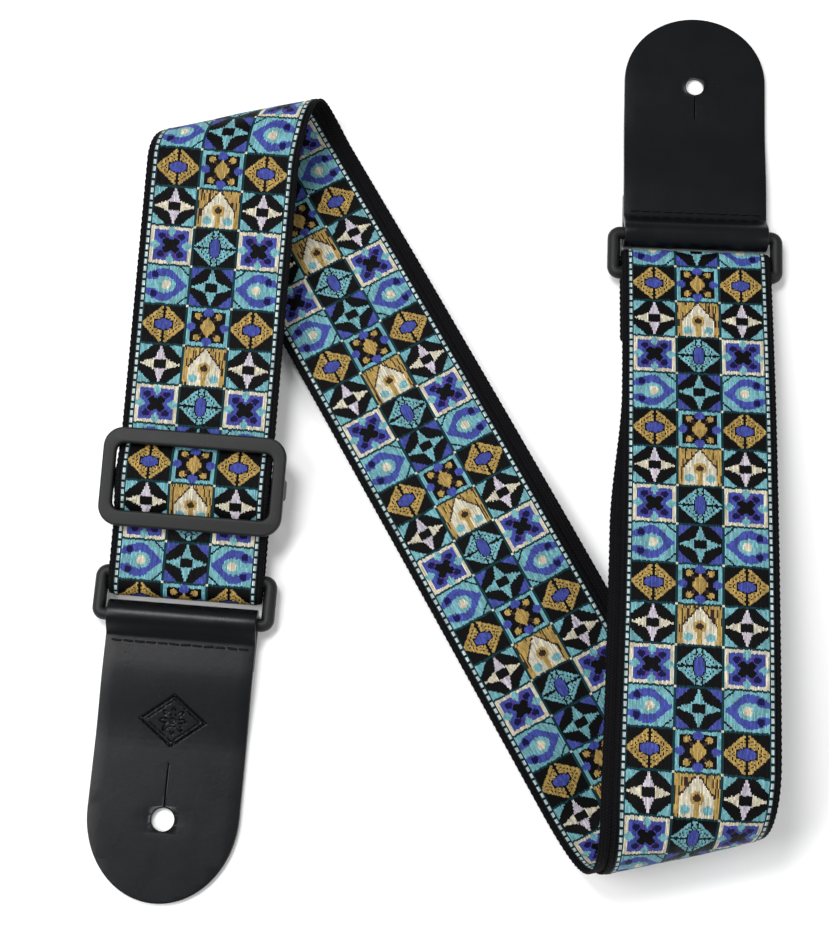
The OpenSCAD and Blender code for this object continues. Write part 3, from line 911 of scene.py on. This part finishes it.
def cut_rows(bm, axis, values, window=None):
    """Cuts the mesh across X or Y at each value, inside the window if there is one."""
    for value in values:
        faces = bm.faces[:]
        if window:
            x0, x1, y0, y1 = window
            faces = [f for f in faces
                     if x0 < f.calc_center_median().x / MM < x1
                     and y0 < f.calc_center_median().y / MM < y1]
        edges = {e for f in faces for e in f.edges}
        verts = {v for f in faces for v in f.verts}
        normal = Vector((1, 0, 0)) if axis == 0 else Vector((0, 1, 0))
        bmesh.ops.bisect_plane(bm, geom=list(verts) + list(edges) + faces,
                               plane_co=normal * value * MM, plane_no=normal, dist=1e-7)


def leather_tab(name, matrix, length, end_l, hole_l, hole_r, slit_l, mark):
    """A strip laid flat, sewn to its own end and folded round the ring's bar."""
    line = ([(-length, LOW_MID)] + s_curve(-FOLD_BACK - DROP, LOW_MID, -FOLD_BACK - 0.2, TOP_MID)
            + s_curve(-SEWN_AT + 1.6, TOP_MID, -0.5, MID_R)
            + arc(0, 0, MID_R, 90, -90, 24) + [(-FOLD_BACK, LOW_MID)])
    place, total = path_place(line)
    hw = TAB_W / 2
    ends = [(hw * math.cos(math.radians(a)), end_l + end_l * math.sin(math.radians(a)))
            for a in range(0, -181, -4)]
    outline = [(hw, total)] + ends + [(-hw, total)]
    y = length - hole_l
    a0 = math.degrees(math.asin(SLIT_HALF / hole_r))
    hole = [(hole_r * math.sin(math.radians(a)), y + hole_r * math.cos(math.radians(a)))
            for a in [a0 + (360 - 2 * a0) * i / 48 for i in range(49)]]
    slit = [(-SLIT_HALF, y + hole_r + slit_l), (SLIT_HALF, y + hole_r + slit_l)]
    obj = slab(name, [outline, hole + slit], -LEATHER_T / 2, LEATHER_T / 2, 0.42, black_leather)
    bm = bmesh.new()
    bm.from_mesh(obj.data)
    bend_from = length - FOLD_BACK - DROP - 1
    cut_rows(bm, 1, linspace(bend_from, total - 0.5, 0.75))
    cut_rows(bm, 1, linspace(4.0, bend_from - 2, 4.0))
    cut_rows(bm, 0, linspace(-20.0, 20.0, 5.0))
    if mark:
        mx, my, depth = 11.9, length - mark, 9.4
        window = (-mx, mx, my - depth, my + depth)
        cut_rows(bm, 0, (-mx, mx))
        cut_rows(bm, 1, (my - depth, my + depth))
        cut_rows(bm, 0, linspace(-mx + 0.3, mx - 0.3, 0.33), window)
        cut_rows(bm, 1, linspace(my - depth + 0.3, my + depth - 0.3, 0.33), window)
    for vert in bm.verts:
        x, d, n = vert.co / MM
        top = n > LEATHER_T / 2 - 0.01
        if mark and top:
            n -= 0.5 * emboss(x, d - my)
        if top and d < bend_from - 2:
            n -= 0.12 * smooth(1 - abs(math.hypot(x, d - y) - hole_r - 0.6) / 1.2)
        vert.co = place(d, x, n) * MM
    bm.to_mesh(obj.data)
    bm.free()
    clean(obj, 40)
    return place_at(obj, matrix)


LOWER_TAB = LOWER_BAR @ Matrix.Translation((0, -BAR_GAP, 0))
UPPER_TAB = UPPER_BAR @ Matrix.Translation((0, -BAR_GAP, 0))
finish_piece(leather_tab("lower_tab_leather", LOWER_TAB, 91.4, 28.5,
                         LOWER_HOLE_L, 3.75, 14.0, 33.0),
             "leather", "lower_tab", ("lower_leather_tab",))
finish_piece(leather_tab("upper_tab_leather", UPPER_TAB, 82.0, 23.5,
                         UPPER_HOLE_L, 3.2, 9.0, None),
             "leather", "upper_tab", ("upper_leather_tab",))


# ---- Stitches ----
def stitches(name, matrix, rows, z, body, nodes, sign=1):
    """Rows of short threads that sink in at both ends."""
    parts = []
    for y in rows:
        for i in range(12):
            x = (i - 5.5) * 3.8 + random.uniform(-0.12, 0.12)
            lean = random.uniform(-0.12, 0.12)
            points = [(x + 1.5 * f, y + lean * f, z + sign * (0.34 * (1 - abs(f) ** 3) - 0.24))
                      for f in (-1, -0.85, -0.5, 0, 0.5, 0.85, 1)]
            parts.append(tube("stitch", points, 0.36, black_thread, 10))
    return finish_piece(place_at(join(name, parts), matrix), "thread", body, nodes)


tab_top = TOP_MID + LEATHER_T / 2
stitches("lower_tab_stitches", LOWER_TAB, [-SEWN_AT], tab_top + 0.2, "lower_tab",
         ("lower_tab_stitching",))
stitches("upper_tab_stitches", UPPER_TAB, [-SEWN_AT], tab_top + 0.2, "upper_tab",
         ("upper_tab_stitching",))
stitches("upper_loop_stitches", UPPER_LOOP, [-HEM + 3, -HEM + 7],
         BAR_N - WEB_LOOP_R - STRAP_T - 0.1, "strap", ("upper_loop_stitching",), -1)
stitches("return_end_stitches", SLIDE_FRAME, [-8.0, -5.0], CENTRE_N - END_R - 0.9, "slider",
         ("return_end_stitching",), -1)

# ---- Floor, light and camera ----
FLOOR_HALF, FLOOR_Z = 2500, -0.1
floor = new_object("floor", [(x * FLOOR_HALF, y * FLOOR_HALF, FLOOR_Z) for x, y in
                             ((-1, -1), (1, -1), (1, 1), (-1, 1))], [(0, 1, 2, 3)],
                   paper_material())


def soft_light(name, place, target, size, power):
    lamp = bpy.data.lights.new(name, "AREA")
    lamp.shape, lamp.size, lamp.energy = "DISK", size, power
    obj = bpy.data.objects.new(name, lamp)
    obj.location = place
    obj.rotation_euler = (Vector(target) - Vector(place)).to_track_quat("-Z", "Y").to_euler()
    bpy.context.collection.objects.link(obj)


centre = (0.085, 0.11, 0.0)
soft_light("key", (-0.62, 0.1, 0.95), centre, 0.6, 7.8)
soft_light("over", (-0.15, 0.4, 0.9), (0.05, 0.1, 0.0), 0.3, 5.0)
soft_light("fill", (0.95, -0.35, 0.9), centre, 0.6, 4.8)
world = bpy.data.worlds.new("studio")
world.use_nodes = True
sky = world.node_tree.nodes["Background"].inputs
sky["Color"].default_value = (1, 1, 1, 1)
sky["Strength"].default_value = 0.42
bpy.context.scene.world = world
bpy.context.scene.view_settings.view_transform = "Standard"

TILT, DISTANCE = math.radians(11.8), 0.5865
camera = bpy.data.objects.new("camera", bpy.data.cameras.new("camera"))
camera.data.lens, camera.data.sensor_width = 67.33, 36.0
camera.location = (0.0815, 0.1183 - DISTANCE * math.sin(TILT), DISTANCE * math.cos(TILT))
camera.rotation_euler = (TILT, 0, 0)
bpy.context.collection.objects.link(camera)
bpy.context.scene.camera = camera
